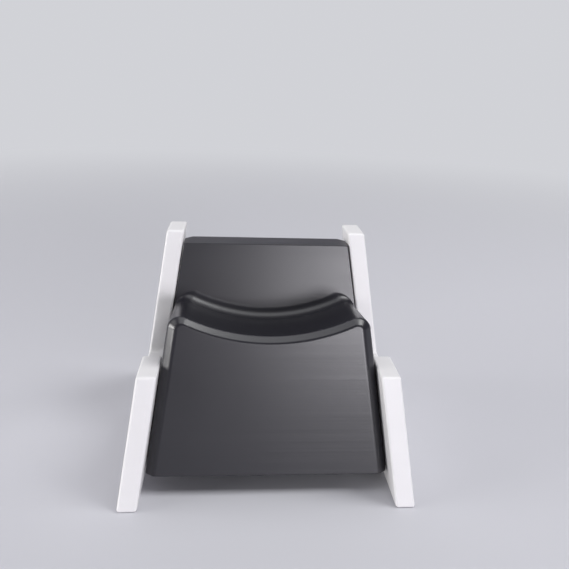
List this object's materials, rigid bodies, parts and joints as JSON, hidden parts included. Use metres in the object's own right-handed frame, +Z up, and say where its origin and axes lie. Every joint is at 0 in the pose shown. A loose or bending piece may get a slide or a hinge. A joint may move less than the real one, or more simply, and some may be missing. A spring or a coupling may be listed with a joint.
{
  "type": "game controller stand",
  "caption": "Desk stand for a game controller: a dark block with a concave chamfered saddle and a leaning back rest, held between splayed white side plates.",
  "frame": {"origin": "middle of the footprint, on the surface that the feet rest on", "axes": "+Z up, +X to the right seen from the front, +Y to the rear, away from the user"},
  "size_m": [0.0858, 0.0836, 0.068],
  "materials": {
    "black_plastic": "satin black with fine level layer lines",
    "white_plastic": "soft satin white"
  },
  "bodies": {
    "root": {"centre_cradle": "black_plastic", "left_side_plate": "white_plastic", "right_side_plate": "white_plastic"}
  },
  "joints": []
}
